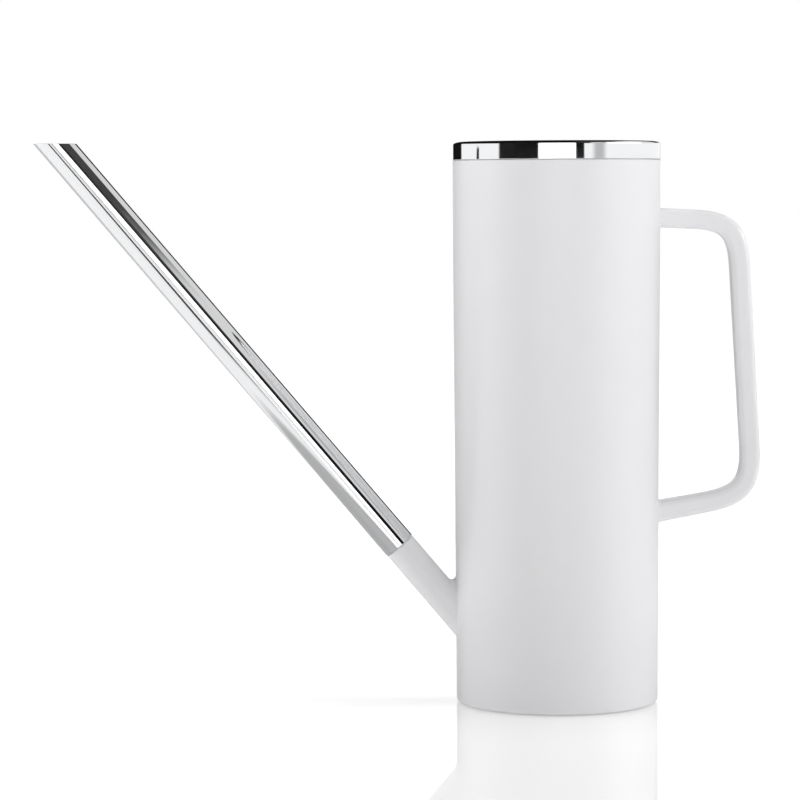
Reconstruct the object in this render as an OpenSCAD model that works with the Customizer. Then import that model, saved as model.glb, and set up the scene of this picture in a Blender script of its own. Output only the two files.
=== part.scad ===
// Slim watering can: a tall moulded beaker with a long slip-on metal spout, a polished rim
// and a loop handle. Millimetres, +Z up, +X towards the handle, -X towards the spout.
// The origin is on the body's axis, on the surface that the can stands on.

/* [Body] */
// Outer radius of the body at the seam under the rim
body_r = 50; // [46:0.5:56]
// Height from the standing surface to the top of the rim
total_h = 271; // [262:1:285]
// Draft of the moulded wall, in degrees
draft = 0.275; // [0.1:0.025:0.5]
// Thickness of the wall
wall_t = 2.5; // [2.2:0.1:3]
// Radius of the outer edge of the base
base_fillet = 2; // [1:0.5:4]
// Height of the inside of the floor above the standing surface
floor_z = 4.4; // [4:0.1:6]

/* [Base pad] */
// Radius of the soft pad under the base
pad_r = 42; // [36:0.5:44]
// Thickness of the pad
pad_t = 1.6; // [1.4:0.1:2]
// How far the pad stands out of the base
pad_proud = 0.4; // [0.3:0.1:0.8]

/* [Rim] */
// Visible height of the rim ring
rim_h = 8.9; // [7:0.1:11]
// Width of the rim ring, seen from above
rim_w = 6; // [5.6:0.1:7]
// Thickness of the ring's sheet
rim_sheet = 0.8; // [0.6:0.1:1]
// Outer edge radius of the ring
rim_edge = 1.5; // [1.4:0.1:2.4]

/* [Spout] */
// Angle between the spout and the vertical, in degrees
spout_tilt = 40.25; // [36:0.25:46]
// Height at which the spout's axis leaves the wall
spout_root_z = 44; // [40:1:60]
// Outer radius of the spout tube
tube_r = 8; // [7.5:0.1:9]
// Wall of the spout tube
tube_wall = 0.8; // [0.6:0.1:1]
// Outer radius of the moulded stub that carries the tube
stub_r = 7.75; // [7.5:0.05:8.5]
// Length of the stub along its axis, from the wall to the joint
stub_l = 42; // [34:1:50]
// Length of the spigot that the tube slides over
spigot_l = 30; // [24:1:36]

/* [Handle] */
// Distance of the handle's upper corner from the body's axis, on its centre line
grip_top_x = 87; // [80:0.2:92]
// Height of the upper corner
grip_top_z = 232.6; // [220:0.2:240]
// Distance of the lower corner from the body's axis
grip_low_x = 94.6; // [86:0.2:98]
// Height of the lower corner
grip_low_z = 100.8; // [90:0.2:120]
// Fall of the upper bar towards the corner, in degrees
top_bar_fall = 2.5; // [0:0.5:6]
// Rise of the lower bar towards the corner, in degrees
low_bar_rise = 10.4; // [6:0.2:14]
// How far from the upper corner the bend starts and ends
top_bend = 22; // [18:0.5:25]
// How far from the lower corner the bend starts and ends
low_bend = 24; // [18:0.5:27]
// Tightness of both bends at the corner, where 0.55 is a round arc
bend_tightness = 0.8; // [0.55:0.05:0.85]
// Thickness of the handle, seen from the side
grip_t = 9.2; // [8.6:0.2:11]
// Thickness of the lower bar where it meets the body
grip_root_t = 9.8; // [8.6:0.2:12]
// Width of the handle, seen from the back
grip_w = 16; // [14:0.5:20]
// Edge radius of the handle
grip_edge = 3; // [2:0.25:4]

/* [Hidden] */
$fn = 96;
eps = 0.01;

// Body
seam_z = total_h - rim_h;
bond_gap = 0.05;                       // glue line and easy assembly fits
cavity_fillet = 6;                     // between the floor and the wall, inside

// Rim: the ring is an upside-down U over the body's neck and the clip ring
ring_r = body_r + 0.1;
ring_gap = 0.15;                       // shadow line between the ring and the body
ring_inner_r = ring_r - rim_w;
ring_inner_edge = 2;
ring_skirt_z = seam_z - 10;            // lower edge of the ring's inner skirt
neck_r = ring_r - rim_sheet - 0.2;
neck_z = total_h - 4.5;
bead_r = 0.6;                          // snap bead of the clip ring
bead_z = seam_z - 6;

// Spout
tube_bore_r = tube_r - tube_wall;
tube_gap = 0.3;                        // shadow line between the stub and the tube
neck_pipe_r = 6.5;                     // the stub's neck through the wall
water_r = 4.4;                         // water way in the stub
spigot_r = tube_bore_r - 0.2;
o_ring_cord_r = 0.75;
o_ring_r = tube_bore_r - bond_gap - o_ring_cord_r;
o_ring_groove_w = 2;
o_ring_at = [8, 22];                   // places along the spigot
tube_end = (total_h - spout_root_z) / cos(spout_tilt);

// Handle
edge_steps = 5;                        // flats round each edge of the section
bend_steps = 20;                       // sections in each bend

// Handle fixings, M3
screw_r = 1.5;
head_r = 2.8;
head_l = 2;
insert_r = 2.4;
insert_l = 7;
seal_r = 4.2;
seal_t = 1;
boss_r = 5.5;
boss_h = 1;                            // height of the flat boss inside the wall
root_x = body_r + 3;                   // where the bars' centre lines meet the screws
top_root_z = grip_top_z + (grip_top_x - root_x) * tan(top_bar_fall);
low_root_z = grip_low_z - (grip_low_x - root_x) * tan(low_bar_rise);
fixings_z = [top_root_z, low_root_z];

// Outer radius of the wall at height z
function wall_r(z) = body_r - (seam_z - z) * tan(draft);

// Flat face of the boss inside the wall at height z
function boss_x(z) = wall_r(z) - wall_t - boss_h;

// Half section of a cup-shaped space: floor at z0, tapered wall, rounded bottom edge
module cup_section(inset, z0, z1, fillet) {
    centre_x = wall_r(z0 + fillet) - inset - fillet / cos(draft);
    polygon([
        [0, z0],
        [centre_x, z0],
        [centre_x, z0 + fillet],
        [centre_x + fillet * cos(draft), z0 + fillet - fillet * sin(draft)],
        [wall_r(z1) - inset, z1],
        [0, z1]
    ]);
    translate([centre_x, z0 + fillet]) circle(fillet);
}

// The solid space inside the body's outer face, grown by gap
module outer_space(gap = 0) {
    translate([0, 0, -50])
        cylinder(h = total_h + 100, r1 = wall_r(-50) + gap, r2 = wall_r(total_h + 50) + gap);
}

// Puts children in the spout's frame: +Z along the spout, origin where it leaves the wall
module on_spout(along = 0) {
    translate([-wall_r(spout_root_z), 0, spout_root_z])
        rotate([0, -spout_tilt, 0])
            translate([0, 0, along])
                children();
}

// Puts children at each handle screw: +Z points outwards through the wall
module at_fixings(dx = 0) {
    for (z = fixings_z)
        translate([boss_x(z) + dx, 0, z])
            rotate([0, 90, 0])
                children();
}

module body_shell() {
    color("white")
    difference() {
        union() {
            rotate_extrude()
                difference() {
                    union() {
                        cup_section(0, pad_proud, seam_z, base_fillet);
                        translate([0, seam_z - 1]) square([neck_r, neck_z - seam_z + 1]);
                    }
                    cup_section(wall_t, floor_z, neck_z + 1, cavity_fillet);
                    translate([wall_r(bead_z) - wall_t, bead_z]) circle(bead_r + bond_gap, $fn = 32);
                }
            at_fixings() cylinder(r = boss_r, h = boss_h + wall_t / 2);
        }
        translate([0, 0, -1]) cylinder(r = pad_r + bond_gap, h = pad_t + 1);
        on_spout(-12) cylinder(r = neck_pipe_r + bond_gap, h = 22);
        at_fixings(-1) cylinder(r = screw_r + 0.1, h = 8);
    }
}

module base_pad() {
    chamfer = 0.3;
    color("silver")
    rotate_extrude()
        polygon([
            [0, 0], [pad_r - chamfer, 0], [pad_r, chamfer],
            [pad_r, pad_t], [0, pad_t]
        ]);
}

// Half section of the ring's outside or, with an inset, of its hollow
module ring_section(inset, z0) {
    outer = ring_r - inset;
    inner = ring_inner_r + inset;
    top = total_h - inset;
    edge_o = rim_edge - inset;
    edge_i = ring_inner_edge - inset;
    translate([inner, z0]) square([2 * edge_i, top - edge_i - z0]);
    translate([inner + edge_i, z0]) square([outer - edge_o - inner - edge_i, top - z0]);
    translate([outer - 2 * edge_o, z0]) square([2 * edge_o, top - edge_o - z0]);
    translate([outer - edge_o, top - edge_o]) circle(edge_o);
    translate([inner + edge_i, top - edge_i]) circle(edge_i);
}

module rim_ring() {
    color("lightgrey")
    rotate_extrude()
        difference() {
            ring_section(0, ring_skirt_z);
            ring_section(rim_sheet, ring_skirt_z - 1);
            translate([body_r - wall_t, ring_skirt_z - 1])
                square([rim_w, seam_z + ring_gap - ring_skirt_z + 1]);
        }
}

module rim_carrier() {
    lip_h = 2;
    slot_r = ring_inner_r + rim_sheet + bond_gap;
    plug_r = wall_r(ring_skirt_z) - wall_t - bond_gap;
    color("gainsboro")
    rotate_extrude() {
        difference() {
            ring_section(rim_sheet + bond_gap, ring_skirt_z);
            translate([plug_r, ring_skirt_z - 1])
                square([rim_w, neck_z + bond_gap - ring_skirt_z + 1]);
        }
        translate([slot_r - rim_sheet, ring_skirt_z - lip_h])
            square([plug_r - slot_r + rim_sheet, lip_h - bond_gap]);
        translate([slot_r, ring_skirt_z - lip_h])
            square([plug_r - slot_r, lip_h + 1]);
        translate([plug_r, bead_z]) circle(bead_r, $fn = 32);
    }
}

module spout_stub() {
    lead = 1.2;
    color("white")
    difference() {
        union() {
            difference() {
                on_spout(-20) cylinder(r = stub_r, h = stub_l + 20);
                outer_space();
            }
            difference() {
                on_spout(-20) cylinder(r = neck_pipe_r, h = 26);
                outer_space(-wall_t);
            }
            on_spout(stub_l) cylinder(r = spigot_r, h = spigot_l - lead);
            on_spout(stub_l + spigot_l - lead)
                cylinder(r1 = spigot_r, r2 = spigot_r - lead / 2, h = lead);
        }
        on_spout(-21) cylinder(r = water_r, h = stub_l + spigot_l + 22);
        for (a = o_ring_at)
            on_spout(stub_l + a - o_ring_groove_w / 2)
                difference() {
                    cylinder(r = spigot_r + 1, h = o_ring_groove_w);
                    translate([0, 0, -eps])
                        cylinder(r = o_ring_r - o_ring_cord_r, h = o_ring_groove_w + 2 * eps);
                }
    }
}

module spout_o_rings() {
    color("dimgrey")
    for (a = o_ring_at)
        on_spout(stub_l + a)
            rotate_extrude()
                translate([o_ring_r, 0]) circle(o_ring_cord_r, $fn = 32);
}

module spout_tube() {
    spare = 20;
    color("lightgrey")
    difference() {
        on_spout(stub_l + tube_gap)
            cylinder(r = tube_r, h = tube_end - stub_l - tube_gap + spare);
        on_spout(stub_l + tube_gap - 1)
            cylinder(r = tube_bore_r, h = tube_end - stub_l + spare + 2);
        translate([-2 * total_h, -total_h / 2, total_h]) cube(2 * total_h);
    }
}

// One corner of the handle's section: i counts round its edge, q picks the corner
function section_point(t, q, i) =
    let (a = 90 * (q + i / edge_steps), sx = q == 0 || q == 3 ? 1 : -1, sy = q < 2 ? 1 : -1)
    [
        sx * (grip_w / 2 - grip_edge) + grip_edge * cos(a),
        sy * (t / 2 - grip_edge) + grip_edge * sin(a)
    ];

// The section at a station: across the handle, and outwards in its plane
function section(t) = [for (q = [0:3], i = [0:edge_steps]) section_point(t, q, i)];

// Stations round a corner of the centre line, on a cubic curve: [x, z, heading, thickness]
function bend_stations(corner, from_heading, to_heading, reach) =
    let (
        before = reach * [cos(from_heading), sin(from_heading)],
        after = reach * [cos(to_heading), sin(to_heading)],
        slack = 1 - bend_tightness
    )
    [
        for (i = [0:bend_steps])
            let (
                t = i / bend_steps,
                u = 1 - t,
                from = u * u * (u + 3 * t * slack),
                to = t * t * (t + 3 * u * slack),
                d_from = u * (u * (1 - slack) + 2 * t * slack),
                d_to = t * (t * (1 - slack) + 2 * u * slack),
                place = corner - from * before + to * after,
                way = d_from * before + d_to * after
            )
            [place.x, place.y, atan2(way.y, way.x), grip_t]
    ];

// The section of a station, set in space
function ring_points(station) = [
    for (p = section(station[3]))
        [station[0] - p[1] * sin(station[2]), p[0], station[1] + p[1] * cos(station[2])]
];

// A closed skin round the sections at the stations
module sweep(stations) {
    n = 4 * (edge_steps + 1);
    last = len(stations) - 1;
    points = [for (s = stations) each ring_points(s)];
    sides = [
        for (k = [0:last - 1], j = [0:n - 1])
            let (a = k * n + j, b = k * n + (j + 1) % n)
            each [[a, b, b + n], [a, b + n, a + n]]
    ];
    caps = [[for (j = [n - 1:-1:0]) j], [for (j = [0:n - 1]) last * n + j]];
    polyhedron(points, concat(sides, caps));
}

module handle() {
    lean = atan2(grip_low_x - grip_top_x, grip_top_z - grip_low_z);
    top_heading = -top_bar_fall;
    back_heading = lean - 90;
    low_heading = low_bar_rise - 180;
    start_x = body_r - 6;
    start_z = grip_top_z + (grip_top_x - start_x) * tan(top_bar_fall);
    end_z = grip_low_z - (grip_low_x - start_x) * tan(low_bar_rise);
    stations = concat(
        [[start_x, start_z, top_heading, grip_t]],
        bend_stations([grip_top_x, grip_top_z], top_heading, back_heading, top_bend),
        bend_stations([grip_low_x, grip_low_z], back_heading, low_heading, low_bend),
        [[start_x, end_z, low_heading, grip_root_t]]
    );
    color("white")
    difference() {
        sweep(stations);
        outer_space(bond_gap);
        at_fixings() cylinder(r = insert_r, h = boss_h + wall_t + insert_l + 0.5);
    }
}

module handle_inserts() {
    depth = boss_h + wall_t + 0.4;
    color("goldenrod")
    difference() {
        at_fixings(depth) cylinder(r = insert_r, h = insert_l);
        at_fixings(depth - 1) cylinder(r = screw_r, h = insert_l + 2);
    }
}

module handle_screws() {
    socket_r = 1.45;
    color("silver")
    difference() {
        union() {
            at_fixings(-seal_t - head_l) cylinder(r = head_r, h = head_l);
            at_fixings(-seal_t - eps) cylinder(r = screw_r, h = seal_t + boss_h + wall_t + 6);
        }
        at_fixings(-seal_t - head_l - 1) cylinder(r = socket_r, h = 2.2, $fn = 6);
    }
}

module screw_seals() {
    color("dimgrey")
    difference() {
        at_fixings(-seal_t) cylinder(r = seal_r, h = seal_t);
        at_fixings(-seal_t - 1) cylinder(r = screw_r, h = seal_t + 2);
    }
}

body_shell();
base_pad();
rim_ring();
rim_carrier();
spout_stub();
spout_o_rings();
spout_tube();
handle();
handle_inserts();
handle_screws();
screw_seals();
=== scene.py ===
"""Slim upright watering can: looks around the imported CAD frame. Metres, +Z up, +X to the handle."""

import math

import bmesh
import bpy
from mathutils import Matrix, Vector


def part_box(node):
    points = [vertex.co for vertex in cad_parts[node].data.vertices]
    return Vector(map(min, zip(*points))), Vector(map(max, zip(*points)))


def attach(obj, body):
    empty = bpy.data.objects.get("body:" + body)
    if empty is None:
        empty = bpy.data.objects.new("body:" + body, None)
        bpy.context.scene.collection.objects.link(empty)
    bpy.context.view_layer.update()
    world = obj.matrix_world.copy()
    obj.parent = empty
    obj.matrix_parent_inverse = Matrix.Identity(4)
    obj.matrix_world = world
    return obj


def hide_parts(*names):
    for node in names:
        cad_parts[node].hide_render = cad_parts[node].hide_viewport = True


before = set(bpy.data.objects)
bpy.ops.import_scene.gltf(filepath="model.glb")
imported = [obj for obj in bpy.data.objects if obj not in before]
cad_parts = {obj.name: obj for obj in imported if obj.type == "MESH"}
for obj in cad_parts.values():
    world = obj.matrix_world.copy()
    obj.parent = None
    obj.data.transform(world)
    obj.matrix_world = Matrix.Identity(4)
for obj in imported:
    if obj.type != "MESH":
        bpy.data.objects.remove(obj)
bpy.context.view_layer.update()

MM = 0.001

# ---------------------------------------- sizes, from the frame
body_low, body_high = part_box("body_shell")
ring_low, ring_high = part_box("rim_ring")
pad_low, pad_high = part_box("base_pad")
tube_low, tube_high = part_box("spout_tube")

BODY_R = (body_high[0] - body_low[0]) / 2
TOTAL_H = ring_high[2]
RING_SHOWS = 8.9 * MM   # height of the rim band above the wall
SEAM_Z = TOTAL_H - RING_SHOWS
DRAFT = math.radians(0.275)
WALL = 2.5 * MM
BASE_Z = body_low[2]
BASE_FILLET = 2 * MM
CAVITY_Z = 4.4 * MM     # the floor inside the can
CAVITY_FILLET = 6 * MM
PAD_PLAY = 0.05 * MM

RING_R = (ring_high[0] - ring_low[0]) / 2
RING_W = 6 * MM
RING_SHEET = 0.8 * MM
RING_EDGE = 1.5 * MM
RING_INNER_EDGE = 2 * MM
RING_SKIRT = 10 * MM    # how far its inner skirt hangs below the seam
NECK_R = RING_R - 1 * MM
NECK_Z = body_high[2]

PAD_R = (pad_high[0] - pad_low[0]) / 2
PAD_T = pad_high[2]

TILT = math.radians(40.25)      # the spout's lean from upright
ROOT_Z = 44 * MM
STUB_R = 7.75 * MM
STUB_L = 42 * MM
STUB_HOLE_R = 6.5 * MM          # the hole that the stub fills in the wall
SPIGOT_L = 30 * MM
TUBE_R = (tube_high[1] - tube_low[1]) / 2
TUBE_BORE_R = TUBE_R - 0.8 * MM
SPIGOT_R = TUBE_BORE_R - 0.2 * MM
WATER_R = 4.4 * MM
GROOVE_R = 5.65 * MM
GROOVE_W = 2 * MM
GROOVES_AT = (8 * MM, 22 * MM)
SOFT_FLARE = 2.0 * MM           # the stub's flare onto the wall, above
CRISP_FLARE = 0.4 * MM          # and below
TUBE_GAP = 0.3 * MM

GRIP_T = 9.2 * MM
GRIP_ROOT_T = 9.8 * MM
GRIP_W = 16 * MM
GRIP_EDGE = 3 * MM
GRIP_TOP = Vector((87 * MM, 232.6 * MM))
GRIP_LOW = Vector((94.6 * MM, 100.8 * MM))
TOP_BEND = 22 * MM
LOW_BEND = 24 * MM
BEND_TIGHTNESS = 0.8
TOP_FALL = math.radians(2.5)
LOW_RISE = math.radians(10.4)
TOP_FLARE = 0.6 * MM
LOW_FLARE = 1.2 * MM

BOSS_R = 5.5 * MM
BOSS_T = 1 * MM         # how far a boss stands off the wall inside
SCREW_HOLE_R = 1.6 * MM
INSERT_R = 2.4 * MM

AROUND = 192            # sections round the large turned pieces
CREASE = math.radians(35)
WELD = 0.0001 * MM      # points closer than this are one


def wall_r(z):
    """Outer radius of the drafted wall at height z."""
    return BODY_R - (SEAM_Z - z) * math.tan(DRAFT)


# ---------------------------------------- mesh helpers
def add_mesh(name, verts, faces):
    """A smooth-shaded closed mesh with its normals outwards."""
    mesh = bpy.data.meshes.new(name)
    mesh.from_pydata([tuple(v) for v in verts], [], faces)
    bm = bmesh.new()
    bm.from_mesh(mesh)
    bmesh.ops.remove_doubles(bm, verts=bm.verts, dist=WELD)
    loose = [edge for edge in bm.edges if not edge.link_faces]
    bmesh.ops.delete(bm, geom=loose, context="EDGES")
    bmesh.ops.recalc_face_normals(bm, faces=bm.faces)
    bm.to_mesh(mesh)
    bm.free()
    mesh.shade_smooth()
    mesh.set_sharp_from_angle(angle=CREASE)
    piece = bpy.data.objects.new(name, mesh)
    bpy.context.scene.collection.objects.link(piece)
    return piece


def weigh_normals(piece):
    """Lets the large faces set the shading, so that the small edge radii stay crisp."""
    modifier = piece.modifiers.new("weighted_normals", "WEIGHTED_NORMAL")
    modifier.keep_sharp = True
    modifier.weight = 80
    return piece


def grid_faces(rows, columns, closed_rows=False):
    """Quads between rows of points, each row a closed ring."""
    last = rows if closed_rows else rows - 1
    faces = []
    for i in range(last):
        for j in range(columns):
            a = i * columns + j
            b = i * columns + (j + 1) % columns
            c = ((i + 1) % rows) * columns + (j + 1) % columns
            d = ((i + 1) % rows) * columns + j
            faces.append((a, b, c, d))
    return faces


def rounded_path(corners, steps=8):
    """A 2-D outline through (x, y, radius) corners, each corner rounded by its radius."""
    points = []
    count = len(corners)
    for k, (x, y, radius) in enumerate(corners):
        here = Vector((x, y))
        before = Vector(corners[(k - 1) % count][:2]) - here
        after = Vector(corners[(k + 1) % count][:2]) - here
        if radius <= 0:
            points.append(here)
            continue
        before.normalize()
        after.normalize()
        half = before.angle(after) / 2
        cut = radius / math.tan(half)
        centre = here + (before + after).normalized() * (radius / math.sin(half))
        start = here + before * cut - centre
        end = here + after * cut - centre
        turn = math.atan2(start.x * end.y - start.y * end.x, start.dot(end))
        for i in range(steps + 1):
            points.append(centre + Matrix.Rotation(turn * i / steps, 2) @ start)
    return points


def loft(name, rows):
    """A mesh through rows of points: each row is a closed ring, and the last joins the first."""
    verts = [p for row in rows for p in row]
    return add_mesh(name, verts, grid_faces(len(rows), len(rows[0]), closed_rows=True))


def angles(count):
    """Equal steps round a circle."""
    return [2 * math.pi * j / count for j in range(count)]


def revolve(name, corners, segments=AROUND, steps=8):
    """Turns a closed (radius, z, edge radius) outline round the Z axis."""
    rows = []
    for p in rounded_path(corners, steps):
        rows.append([(p.x * math.cos(a), p.x * math.sin(a), p.y) for a in angles(segments)])
    return loft(name, rows)


def combine(piece, operation, others):
    """Adds (UNION) or takes away (DIFFERENCE) separate solids, and removes them."""
    tool = bmesh.new()
    for other in others:
        tool.from_mesh(other.data)
    tool.to_mesh(others[0].data)
    tool.free()
    modifier = piece.modifiers.new("combine", "BOOLEAN")
    modifier.operation = operation
    modifier.solver = "EXACT"
    modifier.object = others[0]
    apply_modifiers(piece)
    for other in others:
        bpy.data.objects.remove(other)


def apply_modifiers(piece):
    """Bakes the piece's modifiers into its mesh."""
    graph = bpy.context.evaluated_depsgraph_get()
    made = bpy.data.meshes.new_from_object(piece.evaluated_get(graph))
    bm = bmesh.new()
    bm.from_mesh(made)
    bmesh.ops.remove_doubles(bm, verts=bm.verts, dist=WELD)
    bmesh.ops.dissolve_degenerate(bm, edges=bm.edges, dist=WELD)
    bm.to_mesh(made)
    bm.free()
    piece.modifiers.clear()
    piece.data = made
    made.shade_smooth()
    made.set_sharp_from_angle(angle=CREASE)


def place(piece, matrix):
    """Moves the piece's own mesh, so that its object stays at the origin."""
    piece.data.transform(matrix)
    return piece


def lie_along_x(x, z):
    """The place of a small turned part whose axis points along +X, starting at x."""
    return Matrix.Translation((x, 0, z)) @ Matrix.Rotation(math.pi / 2, 4, "Y")


# ---------------------------------------- where the spout and the handle meet the wall
SPOUT_DIR = Vector((-math.sin(TILT), 0, math.cos(TILT)))
SPOUT_SIDE = Vector((math.cos(TILT), 0, math.sin(TILT)))
SPOUT_ROOT = Vector((-wall_r(ROOT_Z), 0, ROOT_Z))
SPOUT_FRAME = Matrix.Translation(SPOUT_ROOT) @ Matrix.Rotation(-TILT, 4, "Y")
AXIS_Y = Vector((0, 1, 0))


def wall_hit(start, heading, offset, far):
    """Where a line meets the wall's cone grown by offset: the far or the near crossing."""
    slope = math.tan(DRAFT)
    base = wall_r(start.z) + offset
    a = heading.x ** 2 + heading.y ** 2 - (slope * heading.z) ** 2
    b = 2 * (start.x * heading.x + start.y * heading.y - base * slope * heading.z)
    c = start.x ** 2 + start.y ** 2 - base ** 2
    root = math.sqrt(b * b - 4 * a * c)
    return start + heading * ((-b + (root if far else -root)) / (2 * a))


def wall_normal(point):
    """The wall's outward normal at a point."""
    out = Vector((point.x, point.y, 0)).normalized()
    return (out - Vector((0, 0, math.tan(DRAFT)))).normalized()


def blend_rows(point, normal, heading, radius, far, steps=6):
    """An arc of a ball that rolls in the corner between a bar and the wall, wall end first."""
    centre = wall_hit(point + normal * radius, heading, radius, far)
    on_wall = centre - wall_normal(centre) * radius
    on_bar = centre - normal * radius
    arc = []
    start, end = on_wall - centre, on_bar - centre
    turn = start.angle(end)
    axis = start.cross(end).normalized()
    for i in range(steps + 1):
        arc.append(centre + Matrix.Rotation(turn * i / steps, 3, axis) @ start)
    return arc


def boss_x(z):
    """Flat face of the screw boss inside the wall at height z."""
    return wall_r(z) - WALL - BOSS_T


def fixing_heights():
    """Heights of the two handle screws, from the inserts' own box."""
    low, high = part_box("handle_inserts")
    return high[2] - INSERT_R, low[2] + INSERT_R


FIXINGS_Z = fixing_heights()


# ---------------------------------------- pieces of the can
def make_body():
    """The moulded beaker: one turned shell with bosses, spout hole and screw holes."""
    body = revolve("body_moulding", [
        (PAD_R + PAD_PLAY, BASE_Z, 0.3 * MM),
        (wall_r(BASE_Z), BASE_Z, BASE_FILLET),
        (wall_r(SEAM_Z), SEAM_Z, 0.3 * MM),
        (NECK_R, SEAM_Z, 0.1 * MM),
        (NECK_R, NECK_Z, 0.4 * MM),
        (wall_r(NECK_Z) - WALL, NECK_Z, 0.4 * MM),
        (wall_r(CAVITY_Z) - WALL, CAVITY_Z, CAVITY_FILLET),
        (0, CAVITY_Z, 0),
        (0, PAD_T, 0),
        (PAD_R + PAD_PLAY, PAD_T, 0.2 * MM),
    ])
    bosses = [plug("boss", BOSS_R, 0, 2 * BOSS_T, lie_along_x(boss_x(z), z), 48, 0.4 * MM)
              for z in FIXINGS_Z]
    combine(body, "UNION", bosses)
    # the cutters run well past the wall on both sides
    holes = [plug("hole", SCREW_HOLE_R, -2 * MM, 6 * MM, lie_along_x(boss_x(z), z), 48)
             for z in FIXINGS_Z]
    holes.append(plug("spout_hole", STUB_HOLE_R, -12 * MM, 10 * MM, SPOUT_FRAME, 64))
    combine(body, "DIFFERENCE", holes)
    return weigh_normals(body)


def plug(name, radius, start, end, matrix, segments, edge=0):
    """A solid round plug along its own axis, to add to the body or to cut from it."""
    corners = [(0, start, 0), (radius, start, edge), (radius, end, 0), (0, end, 0)]
    return place(revolve(name, corners, segments), matrix)


def make_pad():
    """The soft pad under the base, with fine concentric grip ribs."""
    corners = [(0, PAD_T, 0), (0, 0, 0)]
    rib, groove = 2.2 * MM, 0.18 * MM
    lip, corner = 0.1 * MM, 0.05 * MM
    r = 8 * MM
    while r < PAD_R - 4 * MM:
        corners += [(r, 0, lip), (r + groove, groove, corner)]
        corners += [(r + 2 * groove, groove, corner), (r + 3 * groove, 0, lip)]
        r += rib
    corners += [(PAD_R, 0, 0.35 * MM), (PAD_R, PAD_T, 0.1 * MM)]
    pad = revolve("non_slip_pad", corners, steps=3)
    return weigh_normals(pad)


def make_ring():
    """The polished rim: an upside-down U of sheet, its skirts' edges lightly rounded."""
    inner = RING_R - RING_W
    skirt_z = SEAM_Z - RING_SKIRT
    outer_z = SEAM_Z + 0.15 * MM
    hem = 0.3 * MM
    ring = revolve("rim_band", [
        (RING_R, outer_z, hem),
        (RING_R, TOTAL_H, RING_EDGE),
        (inner, TOTAL_H, RING_INNER_EDGE),
        (inner, skirt_z, hem),
        (inner + RING_SHEET, skirt_z, hem),
        (inner + RING_SHEET, TOTAL_H - RING_SHEET, RING_INNER_EDGE - RING_SHEET),
        (RING_R - RING_SHEET, TOTAL_H - RING_SHEET, RING_EDGE - RING_SHEET),
        (RING_R - RING_SHEET, outer_z, hem),
    ], segments=256, steps=12)
    return weigh_normals(ring)


def make_stub():
    """The moulded stub: flared onto the wall, shouldered for the tube, with a grooved spigot."""
    turned = stub_profile()
    glue_gap = 0.03 * MM
    columns = []
    for a, normal in spout_sides(96):
        crisp = 0.5 - 0.5 * math.cos(a)
        flare = SOFT_FLARE - (SOFT_FLARE - CRISP_FLARE) * crisp
        column = blend_rows(SPOUT_ROOT + normal * STUB_R, normal, SPOUT_DIR, flare, far=True)
        column += [SPOUT_ROOT + normal * p.x + SPOUT_DIR * p.y for p in turned]
        inside = SPOUT_ROOT + normal * WATER_R
        neck = SPOUT_ROOT + normal * (STUB_HOLE_R - glue_gap)
        column.append(wall_hit(inside, SPOUT_DIR, -WALL, far=True))
        column.append(wall_hit(neck, SPOUT_DIR, -WALL, far=True))
        column.append(wall_hit(neck, SPOUT_DIR, 0, far=True))
        columns.append(column)
    return weigh_normals(loft("spout_socket", list(zip(*columns))))


def stub_profile():
    """The stub's turned outline, (radius, distance along): shoulder, spigot, grooves and bore."""
    lead = 1.2 * MM
    end = STUB_L + SPIGOT_L
    profile = [(STUB_R, 0, 0), (STUB_R, STUB_L, 0.35 * MM), (SPIGOT_R, STUB_L, 0.1 * MM)]
    for at in GROOVES_AT:
        low, high = STUB_L + at - GROOVE_W / 2, STUB_L + at + GROOVE_W / 2
        profile += [(SPIGOT_R, low, 0.15 * MM), (GROOVE_R, low, 0.2 * MM)]
        profile += [(GROOVE_R, high, 0.2 * MM), (SPIGOT_R, high, 0.15 * MM)]
    profile += [(SPIGOT_R, end - lead, 0.4 * MM), (SPIGOT_R - lead / 2, end, 0.2 * MM)]
    profile += [(WATER_R, end, 0.3 * MM), (WATER_R, 0, 0)]
    return rounded_path(profile, 5)[1:-1]


def make_tube():
    """The polished spout tube, its upper end cut level with the rim and its edges eased."""
    ease = 0.15 * MM
    mid = 0.3 * ease        # the middle point of an eased edge
    foot = STUB_L + TUBE_GAP
    start = foot + ease
    columns = []
    for _, normal in spout_sides(128):
        profile = [(TUBE_BORE_R + ease, foot), (TUBE_R - ease, foot), (TUBE_R - mid, foot + mid)]
        profile += straight(TUBE_R, start, level_cut(normal, TUBE_R, ease))
        profile.append((TUBE_R - mid, level_cut(normal, TUBE_R - mid, mid)))
        for r in (TUBE_R - ease, TUBE_BORE_R + ease):
            profile.append((r, level_cut(normal, r)))
        profile += straight(TUBE_BORE_R, level_cut(normal, TUBE_BORE_R, ease), start)
        columns.append([SPOUT_ROOT + normal * r + SPOUT_DIR * s for r, s in profile])
    return weigh_normals(loft("spout_pipe", list(zip(*columns))))


def spout_sides(count):
    """Angles round the spout's axis, each with the direction it gives square to the axis."""
    return [(a, SPOUT_SIDE * math.cos(a) + AXIS_Y * math.sin(a)) for a in angles(count)]


def level_cut(normal, radius, short=0.0):
    """Distance along the spout at which one side of it is level with the rim, or just short."""
    z = SPOUT_ROOT.z + normal.z * radius
    return (TOTAL_H - short - z) / SPOUT_DIR.z


def straight(radius, start, end, pieces=24):
    """Evenly spaced points of a profile from start to end, at one radius."""
    return [(radius, start + (end - start) * i / pieces) for i in range(pieces + 1)]


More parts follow.
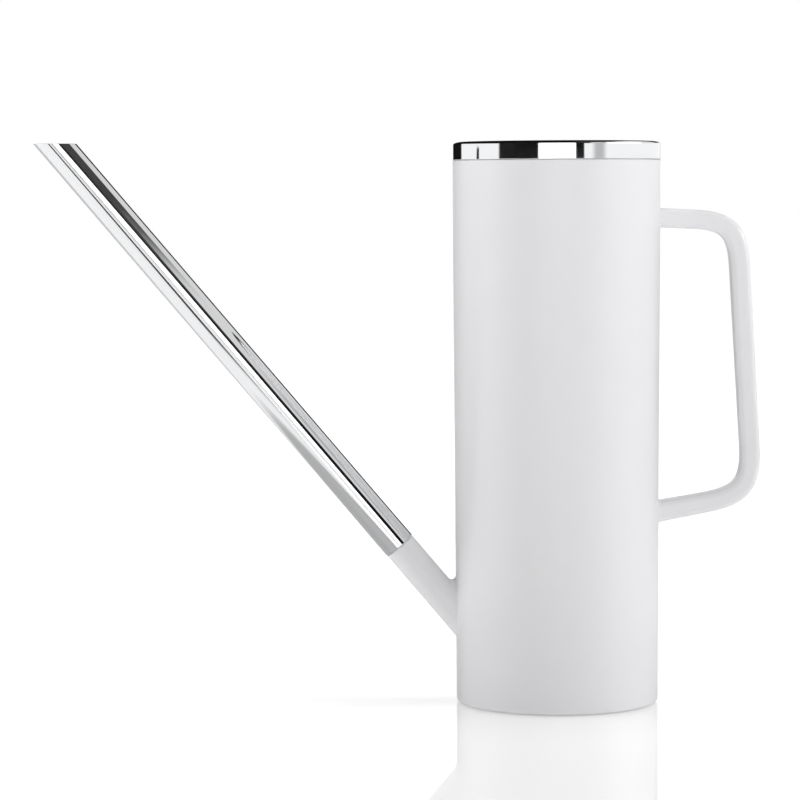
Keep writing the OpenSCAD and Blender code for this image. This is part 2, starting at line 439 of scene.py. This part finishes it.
def grip_section(thickness, steps=8):
    """The handle's section, (across, outwards) with its outward normals."""
    section = []
    for quarter in range(4):
        sx = 1 if quarter in (0, 3) else -1
        sy = 1 if quarter < 2 else -1
        for i in range(steps + 1):
            a = math.pi / 2 * (quarter + i / steps)
            x = sx * (GRIP_W / 2 - GRIP_EDGE) + GRIP_EDGE * math.cos(a)
            y = sy * (thickness / 2 - GRIP_EDGE) + GRIP_EDGE * math.sin(a)
            section.append((x, y, math.cos(a), math.sin(a)))
    return section


def bend_stations(corner, from_heading, to_heading, reach, steps=20):
    """Points and headings round a corner of the handle's centre line, on a cubic curve."""
    before = reach * Vector((math.cos(from_heading), math.sin(from_heading)))
    after = reach * Vector((math.cos(to_heading), math.sin(to_heading)))
    slack = 1 - BEND_TIGHTNESS
    stations = []
    for i in range(steps + 1):
        t = i / steps
        u = 1 - t
        point = corner - u * u * (u + 3 * t * slack) * before
        point += t * t * (t + 3 * u * slack) * after
        way = (u * (u * (1 - slack) + 2 * t * slack)) * before
        way += (t * (t * (1 - slack) + 2 * u * slack)) * after
        stations.append((point, math.atan2(way.y, way.x)))
    return stations


def grip_stations():
    """Stations of the handle's centre line: a point in the XZ plane and a heading."""
    lean = math.atan2(GRIP_LOW.x - GRIP_TOP.x, GRIP_TOP.y - GRIP_LOW.y)
    back = lean - math.pi / 2
    top = bend_stations(GRIP_TOP, -TOP_FALL, back, TOP_BEND)
    return top + bend_stations(GRIP_LOW, back, LOW_RISE - math.pi, LOW_BEND)


def grip_ring(station, thickness=GRIP_T):
    """Points and normals of the section at a station, in space."""
    at, heading = station
    outwards = Vector((-math.sin(heading), 0, math.cos(heading)))
    ring = []
    for x, y, nx, ny in grip_section(thickness):
        point = Vector((at.x, 0, at.y)) + AXIS_Y * x + outwards * y
        ring.append((point, AXIS_Y * nx + outwards * ny))
    return ring


def grip_end(station, inwards, thickness, flare):
    """Rows of points that flare a bar onto the wall, wall end first."""
    arcs = [blend_rows(p, normal, inwards, flare, far=False)
            for p, normal in grip_ring(station, thickness)]
    return list(zip(*arcs))


def make_handle():
    """The loop handle: a swept rounded section, flared where it meets the wall."""
    stations = grip_stations()
    first, last = stations[0], stations[-1]
    inwards_top = Vector((-math.cos(first[1]), 0, -math.sin(first[1])))
    inwards_low = Vector((math.cos(last[1]), 0, math.sin(last[1])))
    rows = grip_end(first, inwards_top, GRIP_T, TOP_FLARE)
    rows += [[p for p, _ in grip_ring(s)] for s in stations]
    rows += reversed(grip_end(last, inwards_low, GRIP_ROOT_T, LOW_FLARE))
    count = len(rows[0])
    verts = [p for row in rows for p in row]
    faces = grid_faces(len(rows), count)
    for row, order in ((0, 1), (len(rows) - 1, -1)):
        middle = sum((p for p in rows[row]), Vector()) / count
        out = Vector((middle.x, middle.y, 0)).normalized() * wall_r(middle.z)
        verts.append(Vector((out.x, out.y, middle.z)))
        hub = len(verts) - 1
        ring = range(row * count, (row + 1) * count)
        faces += [(hub, ring[(j + 1) % count], ring[j])[::order] for j in range(count)]
    handle = add_mesh("grip_loop", verts, faces)
    return weigh_normals(handle)


def make_screw(name, z):
    """A pan-head screw with a hexagon socket, its head inside the can."""
    head_r, head_l = 2.8 * MM, 2 * MM
    shank_r, shank_l = 1.5 * MM, 8 * MM
    socket, depth = 1.25 * MM, 1.2 * MM
    bevel, seal = 0.1 * MM, 1 * MM
    around = 48
    sides = angles(around)
    hexagon = [socket / math.cos(a % (math.pi / 3) - math.pi / 6) for a in sides]
    outline = rounded_path([
        (shank_r, shank_l, 0.3 * MM), (shank_r, 0, 0.1 * MM),
        (head_r, 0, 0.2 * MM), (head_r, -head_l, 1.1 * MM),
    ], 5)
    profile = [([0] * around, shank_l)]
    profile += [([p.x] * around, p.y) for p in outline]
    profile.append(([r + bevel for r in hexagon], -head_l))
    profile.append((hexagon, -head_l + bevel))
    profile.append((hexagon, -head_l + depth))
    profile.append(([0] * around, -head_l + depth + 0.3 * MM))
    rows = [[(r * math.cos(a), r * math.sin(a), x) for r, a in zip(radii, sides)]
            for radii, x in profile]
    screw = place(loft(name, rows), lie_along_x(boss_x(z) - seal, z))
    return weigh_normals(screw)


# ---------------------------------------- materials
class NodeTree:
    """Short calls for building a node tree."""

    def __init__(self, tree):
        self.tree = tree

    def node(self, kind, **settings):
        """Adds a node and sets its properties and inputs by name."""
        made = self.tree.nodes.new(kind)
        for key, value in settings.items():
            if hasattr(made, key):
                setattr(made, key, value)
            else:
                made.inputs[key].default_value = value
        return made

    def link(self, output, target):
        """Connects an output to an input socket."""
        self.tree.links.new(output, target)

    def feed(self, socket, value):
        """Puts a number, or another node's output, into a socket."""
        if isinstance(value, (int, float)):
            socket.default_value = value
        else:
            self.link(value, socket)

    def math(self, operation, a, b):
        """A math node's output; each input is a number or an output."""
        node = self.node("ShaderNodeMath", operation=operation)
        self.feed(node.inputs[0], a)
        self.feed(node.inputs[1], b)
        return node.outputs[0]

    def length(self, vector):
        """A vector's length."""
        node = self.node("ShaderNodeVectorMath", operation="LENGTH")
        self.link(vector, node.inputs[0])
        return node.outputs["Value"]

    def dot(self, vector, axis):
        """A vector's length along an axis."""
        node = self.node("ShaderNodeVectorMath", operation="DOT_PRODUCT")
        self.link(vector, node.inputs[0])
        node.inputs[1].default_value = axis
        return node.outputs["Value"]

    def blend(self, factor, a, b):
        """From a to b by a factor; each is a number or an output."""
        node = self.node("ShaderNodeMix", data_type="FLOAT")
        self.link(factor, node.inputs["Factor"])
        self.feed(node.inputs["A"], a)
        self.feed(node.inputs["B"], b)
        return node.outputs["Result"]

    def fade(self, value, span, ends, curve="SMOOTHSTEP"):
        """From one level to another over a span: a soft step, unless a curve is named."""
        node = self.node("ShaderNodeMapRange", interpolation_type=curve)
        node.inputs["From Min"].default_value, node.inputs["From Max"].default_value = span
        node.inputs["To Min"].default_value, node.inputs["To Max"].default_value = ends
        self.link(value, node.inputs["Value"])
        return node.outputs["Result"]


class Surface(NodeTree):
    """A Principled material with calls for its variation and relief."""

    def __init__(self, name, colour, roughness, metallic=0.0):
        self.material = bpy.data.materials.new(name)
        self.material.use_nodes = True
        super().__init__(self.material.node_tree)
        self.shader = self.tree.nodes["Principled BSDF"]
        self.shader.inputs["Base Color"].default_value = (*colour, 1)
        self.shader.inputs["Roughness"].default_value = roughness
        self.shader.inputs["Metallic"].default_value = metallic
        self.coordinates = self.node("ShaderNodeTexCoord").outputs["Object"]

    def noise(self, scale, detail=2.0, stretch=None, turn=(0, 0, 0)):
        """Noise over the object's own coordinates, turned and stretched if asked."""
        noise = self.node("ShaderNodeTexNoise", Scale=scale, Detail=detail)
        source = self.coordinates
        if stretch:
            mapping = self.node("ShaderNodeMapping", Scale=stretch, Rotation=turn)
            self.link(source, mapping.inputs["Vector"])
            source = mapping.outputs["Vector"]
        self.link(source, noise.inputs["Vector"])
        return noise.outputs["Fac"]

    def spread(self, factor, low, high):
        """Maps the middle of a noise's range, where it mostly lies, to a range of values."""
        return self.fade(factor, (0.3, 0.7), (low, high), curve="LINEAR")

    def vary_roughness(self, factor, low, high):
        """Roughness that wanders between two values."""
        self.link(self.spread(factor, low, high), self.shader.inputs["Roughness"])

    def vary_colour(self, factor, dark, light):
        """Colour that wanders between two tones."""
        mix = self.node("ShaderNodeMix", data_type="RGBA")
        mix.inputs["A"].default_value = (*dark, 1)
        mix.inputs["B"].default_value = (*light, 1)
        self.link(self.spread(factor, 0, 1), mix.inputs["Factor"])
        self.link(mix.outputs["Result"], self.shader.inputs["Base Color"])

    def bump(self, factor, strength, distance):
        """Relief from a factor, on top of any relief set before."""
        bump = self.node("ShaderNodeBump", Strength=strength, Distance=distance)
        self.link(factor, bump.inputs["Height"])
        before = self.shader.inputs["Normal"]
        if before.is_linked:
            self.link(before.links[0].from_socket, bump.inputs["Normal"])
        self.link(bump.outputs["Normal"], before)


def satin_white():
    """Moulded white plastic: a fine even texture and faint unevenness of gloss."""
    s = Surface("satin_white_plastic", (0.855, 0.855, 0.87), 0.305)
    s.shader.inputs["IOR"].default_value = 1.58
    s.vary_colour(s.noise(60), (0.850, 0.851, 0.866), (0.860, 0.860, 0.874))
    s.vary_roughness(s.noise(120, detail=3.0), 0.285, 0.325)
    s.bump(s.noise(5200, detail=1.0), 0.05, 0.02 * MM)
    s.bump(s.noise(14, detail=1.0), 0.06, 0.4 * MM)
    return s.material


def polished_steel(name, stretch, turn=(0, 0, 0)):
    """Mirror-polished steel with hairlines along its drawing direction."""
    s = Surface(name, (0.86, 0.865, 0.875), 0.05, metallic=1.0)
    s.vary_roughness(s.noise(90, detail=4.0), 0.035, 0.075)
    s.bump(s.noise(60, detail=3.0, stretch=stretch, turn=turn), 0.04, 0.02 * MM)
    return s.material


def rim_plastic():
    """Matt clip-ring plastic."""
    s = Surface("rim_plastic", (0.78, 0.78, 0.78), 0.55)
    s.vary_roughness(s.noise(200), 0.48, 0.62)
    s.bump(s.noise(3000), 0.1, 0.03 * MM)
    return s.material


def soft_grey():
    """Soft translucent grey pad."""
    s = Surface("soft_pad", (0.66, 0.66, 0.65), 0.72)
    s.vary_colour(s.noise(90, detail=4.0), (0.60, 0.60, 0.59), (0.70, 0.70, 0.69))
    s.vary_roughness(s.noise(400), 0.62, 0.8)
    s.bump(s.noise(2200, detail=3.0), 0.2, 0.05 * MM)
    return s.material


def black_rubber():
    """Seal rubber with a dusty sheen."""
    s = Surface("black_rubber", (0.025, 0.025, 0.027), 0.6)
    s.vary_colour(s.noise(500, detail=4.0), (0.018, 0.018, 0.02), (0.04, 0.04, 0.042))
    s.vary_roughness(s.noise(900), 0.5, 0.7)
    s.bump(s.noise(4000), 0.15, 0.02 * MM)
    return s.material


def screw_steel():
    """Bright stainless screw, turned marks round its axis."""
    s = Surface("screw_steel", (0.62, 0.62, 0.61), 0.28, metallic=1.0)
    s.vary_roughness(s.noise(1500, detail=4.0), 0.2, 0.36)
    s.bump(s.noise(900, detail=2.0, stretch=(14, 1, 1)), 0.08, 0.01 * MM)
    return s.material


def insert_brass():
    """Machined brass."""
    s = Surface("insert_brass", (0.72, 0.53, 0.25), 0.3, metallic=1.0)
    s.vary_colour(s.noise(700, detail=3.0), (0.66, 0.47, 0.21), (0.76, 0.57, 0.29))
    s.vary_roughness(s.noise(1200), 0.24, 0.4)
    s.bump(s.noise(1500, stretch=(8, 1, 1)), 0.1, 0.02 * MM)
    return s.material


def white_floor():
    """Backlit white shooting table: glossy near the can, matt and brighter further out.

    What reflects in the metal is the table as it was lit, painted into its colour for reflections
    only:
    painted shade in a dimmer disc round the can and behind it, and a painted dark line of shade in
    front of the spout. Distances are from the can's axis, in metres.
    """
    sheet_white = 0.9
    # painted shade: the floor is darker in a disc round the can, for reflections only
    shade_disc_edge, shade_disc_tones = (0.27, 0.33), (0.53, 1.04)
    shade_behind, shade_tones = (0.12, 0.4), (1.0, 0.6)
    # painted shade: a dark line across the floor in front of the spout, seen only in reflections
    shade_line_turn, shade_line_edge, shade_line_end = math.radians(-37.7), (0.045, 0.12), (0.45, 0.62)
    shade_line_back = (-0.1, 0.0)         # the painted shade line stops in front of the can
    sheet_edge = (0.45, 1.1)        # from glossy to matt
    near_glow, far_glow, metal_glow = 0.18, 0.8, 0.28
    near_roughness, far_roughness = 0.04, 0.9

    s = Surface("studio_floor", (sheet_white,) * 3, near_roughness)
    s.shader.inputs["Emission Color"].default_value = (1, 1, 1, 1)
    s.material.cycles.emission_sampling = "NONE"
    in_metal = s.node("ShaderNodeLightPath").outputs["Is Glossy Ray"]
    distance = s.length(s.coordinates)
    behind = s.dot(s.coordinates, (0, 1, 0))
    off_shade_line = s.dot(s.coordinates, (math.cos(shade_line_turn), math.sin(shade_line_turn), 0))

    # painted shade for reflections: the disc, the shade behind and the dark line multiplied together;
    # the camera sees plain white
    shade = s.fade(behind, shade_behind, shade_tones)
    painted_shade = s.math("MULTIPLY", s.fade(distance, shade_disc_edge, shade_disc_tones), shade)
    shade_line = s.fade(s.math("ABSOLUTE", off_shade_line, 0), shade_line_edge, (0.0, 1.0))
    shade_line = s.math("MAXIMUM", shade_line, s.fade(distance, shade_line_end, (1.0, 0.0)))
    shade_line = s.math("MAXIMUM", shade_line, s.fade(behind, shade_line_back, (0.0, 1.0)))
    painted_shade = s.blend(in_metal, 1.0, s.math("MULTIPLY", painted_shade, shade_line))
    s.link(s.math("MULTIPLY", painted_shade, sheet_white), s.shader.inputs["Base Color"])

    # the backlit glow; reflections see their own level, dimmed by the same painted shade
    glow = s.fade(distance, sheet_edge, (near_glow, far_glow))
    glow = s.math("MULTIPLY", s.blend(in_metal, glow, metal_glow), painted_shade)
    s.link(glow, s.shader.inputs["Emission Strength"])
    roughness = s.fade(distance, sheet_edge, (near_roughness, far_roughness))
    s.link(roughness, s.shader.inputs["Roughness"])
    s.link(s.fade(distance, sheet_edge, (0.5, 0.0)), s.shader.inputs["Specular IOR Level"])
    return s.material


def set_material(piece, material):
    """Gives the whole piece one material."""
    piece.data.materials.clear()
    piece.data.materials.append(material)


# ---------------------------------------- assembly
def show(piece, material, slot, body, *nodes):
    """Finishes a new piece: material, body and the CAD nodes it stands for. The slot is not used."""
    set_material(piece, material)
    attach(piece, body)
    if nodes:
        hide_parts(*nodes)


white = satin_white()
tube_steel = polished_steel("polished_steel_tube", (9, 9, 0.25), (0, TILT, 0))
ring_steel = polished_steel("polished_steel_ring", (1, 1, 14))
rubber = black_rubber()
steel = screw_steel()

show(make_body(), white, "white_plastic", "can", "body_shell")
show(make_pad(), soft_grey(), "soft_pad", "can", "base_pad")
show(make_ring(), ring_steel, "polished_steel", "can", "rim_ring")
show(make_stub(), white, "white_plastic", "can", "spout_stub")
show(make_tube(), tube_steel, "polished_steel", "spout", "spout_tube")
show(make_handle(), white, "white_plastic", "can", "handle")
screws = [make_screw(f"handle_screw_{k}", z) for k, z in enumerate(FIXINGS_Z)]
for screw in screws:
    show(screw, steel, "screw_steel", "can")
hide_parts("handle_screws")

set_material(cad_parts["rim_carrier"], rim_plastic())
set_material(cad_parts["spout_o_rings"], rubber)
set_material(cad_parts["screw_seals"], rubber)
set_material(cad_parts["handle_inserts"], insert_brass())


# ---------------------------------------- studio
def make_floor():
    """A plain floor that runs out of sight."""
    half = 30.0
    verts = [(-half, -half, 0), (half, -half, 0), (half, half, 0), (-half, half, 0)]
    floor = add_mesh("studio_floor", verts, [(0, 1, 2, 3)])
    set_material(floor, white_floor())


class Sky(NodeTree):
    """A world shader painted with soft-edged wall panels, seen from the can."""

    def __init__(self, room):
        world = bpy.data.worlds.new("studio")
        bpy.context.scene.world = world
        world.use_nodes = True
        super().__init__(world.node_tree)
        self.tree.nodes.clear()
        self.direction = self.node("ShaderNodeTexCoord").outputs["Generated"]
        self.grey = room

    def step(self, value, edge, soft, ends):
        """A soft step at an edge given in degrees off the panel's middle."""
        span = (math.tan(math.radians(edge - soft)), math.tan(math.radians(edge + soft)))
        return self.fade(value, span, ends)

    def panel(self, grey, facing, left, right, top, bottom=None, soft=1.0, soft_top=4.0):
        """Paints an upright panel over what is there.

        Angles are in degrees: facing, left and right count from the camera's side, positive to
        the right; top and bottom are heights above the horizon at the panel's middle.
        """
        in_front = 0.001
        rise, fall = (0, 1), (1, 0)
        turn = math.radians(facing)
        depth = self.dot(self.direction, (math.sin(turn), -math.cos(turn), 0))
        front = self.math("MAXIMUM", depth, in_front)
        sideways = self.dot(self.direction, (math.cos(turn), math.sin(turn), 0))
        across = self.math("DIVIDE", sideways, front)
        height = self.math("DIVIDE", self.dot(self.direction, (0, 0, 1)), front)
        mask = self.math("GREATER_THAN", depth, in_front)
        steps = [
            self.step(across, left - facing, soft, rise),
            self.step(across, right - facing, soft, fall),
            self.step(height, top, soft_top, fall),
        ]
        if bottom is not None:
            steps.append(self.step(height, bottom, soft_top, rise))
        for step in steps:
            mask = self.math("MULTIPLY", mask, step)
        self.grey = self.blend(mask, self.grey, grey)

    def finish(self):
        """The camera itself sees plain white; everything else sees the panels."""
        white = (1, 1, 1, 1)
        lit = self.node("ShaderNodeBackground", Color=white)
        plain = self.node("ShaderNodeBackground", Color=white)
        self.link(self.grey, lit.inputs["Strength"])
        choose = self.node("ShaderNodeMixShader")
        camera_ray = self.node("ShaderNodeLightPath").outputs["Is Camera Ray"]
        self.link(camera_ray, choose.inputs["Fac"])
        self.link(lit.outputs[0], choose.inputs[1])
        self.link(plain.outputs[0], choose.inputs[2])
        world_out = self.node("ShaderNodeOutputWorld")
        self.link(choose.outputs[0], world_out.inputs["Surface"])


def make_studio():
    """Tall white panels with dark gaps between them under a dark ceiling."""
    sky = Sky(room=0.008)
    # the dim ceiling at the front right, a strip behind the can, the left wall, the camera's side
    sky.panel(0.06, facing=50, left=24, right=84, bottom=24, top=58, soft=3)
    sky.panel(1.18, facing=180, left=166, right=194, top=16, soft=3)
    sky.panel(1.04, facing=-95, left=-132, right=-68.5, top=12, soft=1.5, soft_top=5)
    sky.panel(2.0, facing=-2, left=-22, right=18.5, top=17, soft_top=3)
    # the right wall: bright below, grey above, with a darker middle and the window in it
    sky.panel(1.04, facing=108, left=28, right=163, top=13, soft=0.7, soft_top=5)
    sky.panel(0.75, facing=88, left=36.5, right=142, bottom=13, top=41.6, soft=1.5, soft_top=1)
    sky.panel(0.75, facing=108, left=84, right=142, bottom=30, top=50, soft=1.5)
    sky.panel(0.48, facing=88, left=50, right=112, bottom=13, top=38.5, soft=6, soft_top=1)
    sky.panel(4.8, facing=82, left=58, right=106, bottom=12, top=27, soft=5)
    # a dimmer upright strip at the right wall's near end
    sky.panel(0.55, facing=45, left=39, right=52, top=12, soft=4, soft_top=5)
    sky.finish()


def make_softbox(name, facing, height, distance, size, energy):
    """A round softbox aimed at the can, showing in no reflection; angles as for the panels."""
    data = bpy.data.lights.new(name, "AREA")
    data.shape = "DISK"
    data.size = size
    data.energy = energy
    light = bpy.data.objects.new(name, data)
    bpy.context.scene.collection.objects.link(light)
    turn, rise = math.radians(facing), math.radians(height)
    level, up = math.cos(rise), math.sin(rise)
    out = Vector((math.sin(turn) * level, -math.cos(turn) * level, up))
    light.location = out * distance
    light.rotation_euler = out.to_track_quat("Z", "Y").to_euler()
    light.visible_glossy = False
    light.visible_camera = False


def make_camera():
    """Long lens in front of the can, a little above its middle and left of its axis."""
    data = bpy.data.cameras.new("camera")
    data.sensor_width, data.lens = 36, 146.4
    data.clip_start, data.clip_end = 0.05, 200
    camera = bpy.data.objects.new("camera", data)
    bpy.context.scene.collection.objects.link(camera)
    eye = (-0.0757, -1.5697, 0.2474)
    look_down, lean = 0.064, -0.0044
    camera.matrix_world = (
        Matrix.Translation(eye)
        @ Matrix.Rotation(math.pi / 2 - look_down, 4, "X")
        @ Matrix.Rotation(lean, 4, "Z")
    )
    bpy.context.scene.camera = camera


make_floor()
make_studio()
make_softbox("overhead", facing=0, height=90, distance=2.5, size=1.2, energy=29)
make_softbox("front_fill", facing=-3, height=12, distance=2.5, size=1.3, energy=5)
make_softbox("left_fill", facing=-94, height=20, distance=2.2, size=1.5, energy=15.5)
make_camera()
bpy.context.scene.view_settings.view_transform = "Standard"
